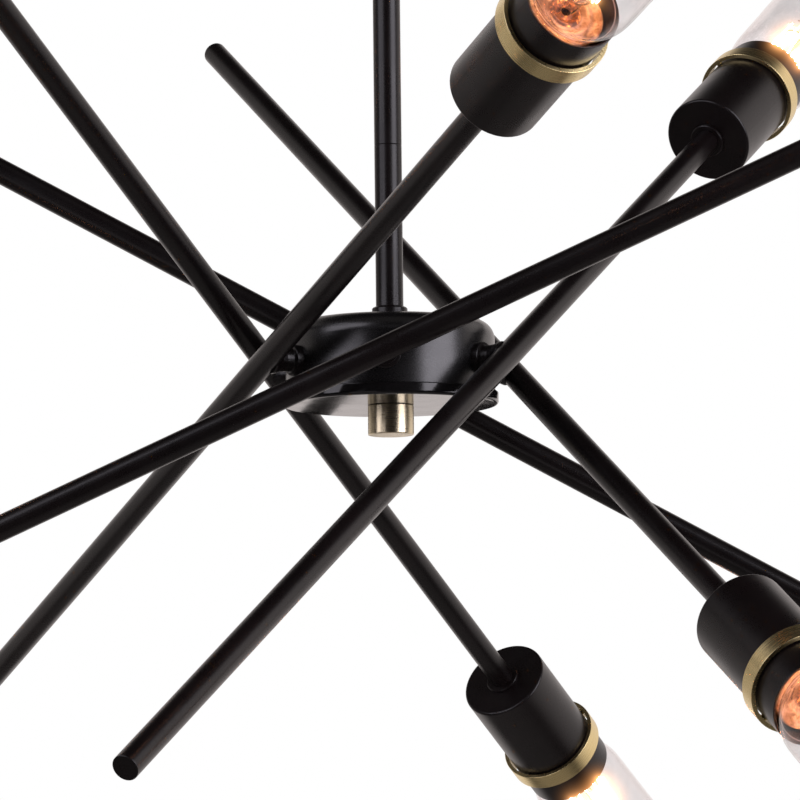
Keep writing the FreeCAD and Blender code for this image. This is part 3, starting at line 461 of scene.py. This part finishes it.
def lamp(arm, m, axis):
    body = arm
    s = LAMP
    brass = brushed_brass(arm + "_cap_metal", axis, 0.24, (0.74, 0.60, 0.36), (0.60, 0.46, 0.26), 0.000002, 0.3)
    shell = cap(arm + "_cap_shell", m, brass, body)
    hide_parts(arm + "_bulb_cap")
    lathe(arm + "_cap_insulator", [(4.9, s + 15.0), (8.0, s + 16.6), (11.8, s + 19.6), (12.3, s + 21.0),
                                   (11.6, s + 21.4), (0.0, s + 21.4), (0.0, s + 15.0)],
          m, M_CAPINS, body, 64, False)
    lathe(arm + "_cap_contact", [(0.0, s + 13.5), (2.6, s + 13.5), (4.0, s + 13.9), (4.75, s + 14.6),
                                 (4.85, s + 14.95), (0.0, s + 14.95)], m, M_WIRE, body, 48, False)
    # Pressed glass foot: flare, neck, pinch and the rod that holds the cage.
    lathe(arm + "_glass_foot",
          [(11.1, s + 31.5), (10.2, s + 32.4), (8.2, s + 35.0), (6.4, s + 39.5), (5.4, s + 46.0), (5.0, s + 54.0),
           (5.2, s + 59.0), (4.6, s + 62.5), (3.0, s + 65.0), (1.7, s + 67.5), (1.35, s + 72.0), (1.2, s + 100.0),
           (1.2, s + 131.0), (1.9, s + 132.2), (2.2, s + 133.4), (1.7, s + 134.8), (0.0, s + 135.4)],
          m, M_STEM_GLASS, body, 56, False)
    # Mica disc across the neck, rippled, with the mount's dark stain in its middle.
    for part, r0, r1, mat in (("_getter", 2.0, 7.4, M_GETTER), ("_mica_disc", 7.4, 17.4, M_MICA)):
        ripples = []
        for k in range(25):
            r = r0 + (r1 - r0) * k / 24
            ripples.append((r, s + 68.6 + 1.4 * (r / 17.4) ** 2 + 0.6 * math.sin(r * 1.3)))
        ripples += [(r, z - 0.35) for r, z in reversed(ripples)]
        lathe(arm + part, ripples, m, mat, body, 72)
    # Painted highlight: a pale metal ring on the edge of the envelope where it bends in at the mouth of the cup, in
    # place of the bright line the glass shows there.
    lathe(arm + "_painted_edge_highlight", [(19.35 + 0.24 * math.cos(t * math.pi / 5), s + 77.2 + 0.24 * math.sin(t * math.pi / 5))
                                for t in range(10)], m, M_EDGE_HIGHLIGHT, body, 96)
    # Lead wires from the foot up to the cage, with the hooks of its two crowns.
    lines = []
    for sx in (-1, 1):
        lines.append(arc([(sx * 2.3, 0, s + 34), (sx * 2.4, 0, s + 60), (sx * 3.6, 0.4, s + 72),
                          (sx * 7.0, 0.8, s + 82), (sx * 8.8, 0.6, s + 89), (sx * 9.0, 0, s + 92.5)], 5))
    for k in range(6):
        a = math.pi / 6 + k * math.pi / 3
        c, d = math.cos(a), math.sin(a)
        lines.append(arc([(1.2 * c, 1.2 * d, s + 133.4), (5.0 * c, 5.0 * d, s + 134.6), (8.4 * c, 8.4 * d, s + 133.2),
                          (9.2 * c, 9.2 * d, s + 131.6)], 4))
        lines.append(arc([(1.2 * c, 1.2 * d, s + 78.0), (4.6 * c, 4.6 * d, s + 82.0), (7.6 * c, 7.6 * d, s + 88.0),
                          (8.7 * c, 8.7 * d, s + 91.0)], 4))
    wires(arm + "_filament_supports", lines, 0.28, m, M_WIRE, body, 6)
    # Squirrel-cage filament: six long loops between the crowns.
    loops = []
    for k in range(6):
        a = k * math.pi / 3
        for half in (-1, 1):
            b0, b1 = a + half * math.radians(4.0), a + half * math.radians(24.0)
            loops.append(arc([(9.3 * math.cos(b1), 9.3 * math.sin(b1), s + 92.0),
                              (9.5 * math.cos(0.5 * (b0 + b1)), 9.5 * math.sin(0.5 * (b0 + b1)), s + 112.0),
                              (9.0 * math.cos(b0), 9.0 * math.sin(b0), s + 131.2)], 8))
    glow = wires(arm + "_filament", loops, 0.30, m, M_FILAMENT, body, 6)
    glow.visible_glossy = False


for arm, bearing, rise, lean, side in ARMS:
    m = arm_frame(bearing, rise, lean, side)
    axis = (m.to_3x3() @ Vector((0, 0, 1))).normalized()
    ring = NODES[arm + "_ring"]
    wear(ring, brushed_brass(arm + "_satin_brass", axis, 0.27, (0.89, 0.73, 0.38), (0.76, 0.60, 0.29), 0.0000016, 0.4))
    lamp(arm, m, axis)
    # The lamp's light: most of it soft, a little of it mirrored by the paint.
    for part, energy, size in (("soft", 0.16, 0.009), ("glint", 0.17, 0.012)):
        light = bpy.data.lights.new(arm + "_" + part, "POINT")
        light.energy = energy
        light.color = (1.0, 0.40, 0.19)
        light.shadow_soft_size = size
        lo = bpy.data.objects.new(arm + "_" + part, light)
        bpy.context.scene.collection.objects.link(lo)
        lo.location = m @ Vector((0, 0, LAMP + 104.0))
        lo.parent = frame["bodies"][arm]
        lo.visible_camera = False
        if part == "soft":
            lo.visible_glossy = False
        else:
            lo.visible_diffuse = False

# -------------------------------------------------------------------- studio
world = bpy.data.worlds.new("studio")
bpy.context.scene.world = world
world.use_nodes = True
tree = world.node_tree
tree.nodes.clear()


def wnode(kind, **settings):
    n = tree.nodes.new(kind)
    for key, value in settings.items():
        setattr(n, key, value)
    return n


def wmap(value, a, b, low=0.0, high=1.0):
    n = wnode("ShaderNodeMapRange", interpolation_type="SMOOTHSTEP")
    for key, v in (("From Min", a), ("From Max", b), ("To Min", low), ("To Max", high)):
        n.inputs[key].default_value = v
    tree.links.new(value, n.inputs["Value"])
    return n.outputs["Result"]


def wmath(kind, a, b):
    n = wnode("ShaderNodeMath", operation=kind)
    for i, v in enumerate((a, b)):
        if isinstance(v, (int, float)):
            n.inputs[i].default_value = v
        else:
            tree.links.new(v, n.inputs[i])
    return n.outputs[0]


split = wnode("ShaderNodeSeparateXYZ")
tree.links.new(wnode("ShaderNodeTexCoord").outputs["Generated"], split.inputs[0])
far = wmath("MULTIPLY", wmap(split.outputs["Y"], -0.12, 0.22), wmap(split.outputs["X"], -0.80, -0.35, 0.48, 1.0))
band = wmath("MULTIPLY", wmap(split.outputs["Z"], 0.80, 0.50), wmap(split.outputs["Z"], -0.75, -0.45))
top = wmath("MULTIPLY", wmap(split.outputs["Z"], 0.60, 0.85, 0.0, 0.10), wmap(split.outputs["Y"], 0.10, -0.30))
fill = wmath("ADD", wmap(split.outputs["Z"], -0.60, -0.95, 0.0, 0.20), top)
light_in = wmath("ADD", wmath("MULTIPLY", wmath("MULTIPLY", far, band), 0.85), wmath("ADD", fill, 0.016))
studio = wnode("ShaderNodeBackground")
studio.inputs["Color"].default_value = (1.0, 0.912, 0.885, 1)
tree.links.new(light_in, studio.inputs["Strength"])
seen = wnode("ShaderNodeBackground")
seen.inputs["Color"].default_value = (1, 1, 1, 1)
seen.inputs["Strength"].default_value = 1.0
mix = wnode("ShaderNodeMixShader")
tree.links.new(wnode("ShaderNodeLightPath").outputs["Is Camera Ray"], mix.inputs[0])
tree.links.new(studio.outputs[0], mix.inputs[1])
tree.links.new(seen.outputs[0], mix.inputs[2])
tree.links.new(mix.outputs[0], wnode("ShaderNodeOutputWorld").inputs["Surface"])

AIM = Vector((0, 0, -0.46))


def softbox(name, azimuth, elevation, distance, width, height, radiance, colour=(1, 1, 1)):
    a, e = math.radians(azimuth), math.radians(elevation)
    way = Vector((math.sin(a) * math.cos(e), -math.cos(a) * math.cos(e), math.sin(e)))
    light = bpy.data.lights.new(name, "AREA")
    light.shape = "RECTANGLE"
    light.size, light.size_y = width, height
    light.energy = math.pi * width * height * radiance
    light.color = colour
    o = bpy.data.objects.new(name, light)
    bpy.context.scene.collection.objects.link(o)
    o.location = AIM + way * distance
    o.rotation_euler = way.to_track_quat("Z", "Y").to_euler()
    o.visible_camera = False
    return o


softbox("right_box", 57, 14, 2.2, 1.6, 2.0, 4.1, (0.95, 0.91, 1.0))
softbox("left_box", -50, 20, 2.2, 1.8, 1.9, 2.1, (0.94, 0.90, 1.0))
softbox("low_box", -28, -28, 2.4, 1.2, 1.0, 0.42, (1.0, 0.90, 0.92))

floor_mesh = bpy.data.meshes.new("floor")
bm = bmesh.new()
bmesh.ops.create_grid(bm, x_segments=8, y_segments=8, size=6.0)
bmesh.ops.translate(bm, verts=bm.verts, vec=(0, 0, -1.6))
bm.to_mesh(floor_mesh)
bm.free()
floor = bpy.data.objects.new("floor", floor_mesh)
bpy.context.scene.collection.objects.link(floor)
mf = Mat("pale_floor")
mf.principled(Base_Color=mf.ramp(mf.noise(mf.coords(), 3.0, 3.0), [(0.3, (0.80, 0.79, 0.78)), (0.7, (0.84, 0.83, 0.82))]),
              Roughness=0.7, Emission_Color=(1.0, 0.975, 0.965, 1.0), Emission_Strength=0.42)
mf.mat.cycles.emission_sampling = "NONE"
floor_mesh.materials.append(mf.mat)
# The floor is for the eye only: the lamp hangs high above it and mirrors none of it.
floor.visible_glossy = False


# -------------------------------------------------------------------- camera
def rot_z(a):
    return np.array([[math.cos(a), -math.sin(a), 0], [math.sin(a), math.cos(a), 0], [0, 0, 1]])


def looking(yaw, pitch, roll):
    cy, sy = math.cos(yaw), math.sin(yaw)
    cp, sp = math.cos(pitch), math.sin(pitch)
    fwd = np.array([sy * cp, cy * cp, sp])
    right = np.array([cy, -sy, 0.0])
    up = np.cross(right, fwd)
    cr, sr = math.cos(roll), math.sin(roll)
    return cr * right + sr * up, -sr * right + cr * up, fwd


TURN = math.radians(-2.47050752)
right, up, fwd = looking(*(math.radians(x) for x in (0.07283583, 6.387087, -0.63607241)))
back = rot_z(-TURN)
right, up, fwd = back @ right, back @ up, back @ fwd
place = (back @ np.array([1.14375, -2549.56, -301.94]) + np.array([0, 0, -DROP])) * MM
camera = bpy.data.cameras.new("camera")
camera.sensor_fit = "HORIZONTAL"
camera.sensor_width = 36.0
camera.lens = 5433.87 * 36.0 / 800.0
camera.clip_start, camera.clip_end = 0.05, 60.0
cam = bpy.data.objects.new("camera", camera)
bpy.context.scene.collection.objects.link(cam)
m = Matrix.Identity(4)
for i in range(3):
    m[i][0], m[i][1], m[i][2], m[i][3] = right[i], up[i], -fwd[i], place[i]
cam.matrix_world = m
bpy.context.scene.camera = cam

scene = bpy.context.scene
scene.view_settings.view_transform = "Standard"
scene.view_settings.look = "None"
scene.cycles.max_bounces = 10
scene.cycles.transparent_max_bounces = 32
scene.cycles.sample_clamp_indirect = 4.0

# Lens glow round the bright wires, and nothing else.
scene.use_nodes = True
comp = scene.node_tree
comp.nodes.clear()
layers = comp.nodes.new("CompositorNodeRLayers")
glare = comp.nodes.new("CompositorNodeGlare")
glare.glare_type = "BLOOM"
glare.quality = "HIGH"
glare.inputs["Threshold"].default_value = 2.5
glare.inputs["Strength"].default_value = 0.20
glare.inputs["Size"].default_value = 0.03
final = comp.nodes.new("CompositorNodeComposite")
comp.links.new(layers.outputs["Image"], glare.inputs["Image"])
comp.links.new(glare.outputs["Image"], final.inputs["Image"])
